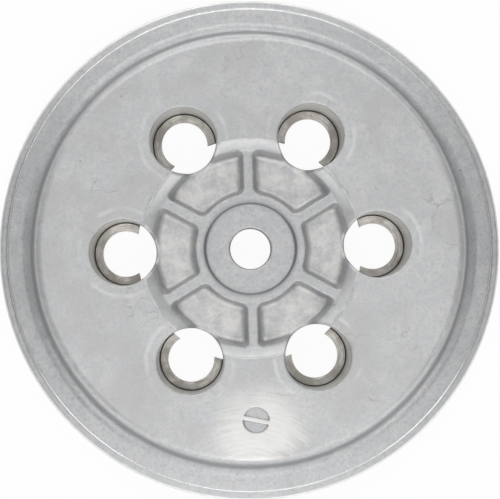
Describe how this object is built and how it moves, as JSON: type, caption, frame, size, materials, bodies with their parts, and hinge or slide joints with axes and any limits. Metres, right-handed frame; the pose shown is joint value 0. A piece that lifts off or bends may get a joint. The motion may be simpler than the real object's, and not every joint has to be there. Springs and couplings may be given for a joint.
{
  "type": "clutch pressure plate",
  "caption": "Round cast-aluminium pressure plate of a multi-spring wet clutch, with a ring of deep spring cups, a ribbed dished middle and a centre bore.",
  "frame": {"origin": "on the plate's axis, in the plane of the spring cups' ends", "axes": "+Z along the axis, towards the spring side; +X through the first spring cup"},
  "size_m": [0.15, 0.15, 0.02],
  "materials": {
    "cast_aluminium": "as cast, with machined bores and faces",
    "seat_steel": "turned"
  },
  "bodies": {
    "root": {"plate_casting": "cast_aluminium", "spring_seat_1": "seat_steel", "spring_seat_2": "seat_steel", "spring_seat_3": "seat_steel", "spring_seat_4": "seat_steel", "spring_seat_5": "seat_steel", "spring_seat_6": "seat_steel"}
  },
  "joints": []
}
